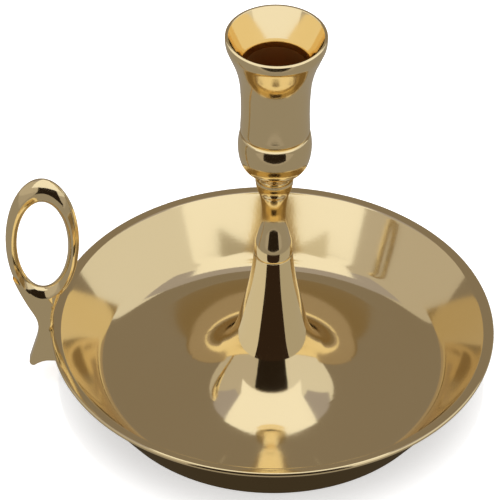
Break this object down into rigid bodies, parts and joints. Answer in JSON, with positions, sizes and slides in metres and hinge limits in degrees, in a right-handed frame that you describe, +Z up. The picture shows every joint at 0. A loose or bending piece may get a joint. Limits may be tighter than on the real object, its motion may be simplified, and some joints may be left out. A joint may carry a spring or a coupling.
{
  "type": "candlestick",
  "caption": "Brass chamber candlestick: a dished drip pan with a ring handle, a hollow trumpet foot, a turned stem and a flared socket that holds a household candle.",
  "frame": {"origin": "centre of the felt disc's underside, on the table, on the candle's axis", "axes": "+Z up along the candle's axis; the ring handle stands on the -X side, in the XZ plane"},
  "size_m": [0.1812, 0.165, 0.1644],
  "materials": {
    "polished_brass": "turned, buffed to a mirror polish",
    "plated_steel": "zinc plated",
    "green_felt": "pressed wool felt"
  },
  "bodies": {
    "root": {"drip_pan": "polished_brass", "trumpet_foot": "polished_brass", "turned_stem": "polished_brass", "candle_socket": "polished_brass", "ring_handle": "polished_brass", "handle_rivets": "polished_brass", "tie_rod": "plated_steel", "washer": "plated_steel", "spring_washer": "plated_steel", "hex_nut": "plated_steel", "felt_base": "green_felt"}
  },
  "joints": []
}
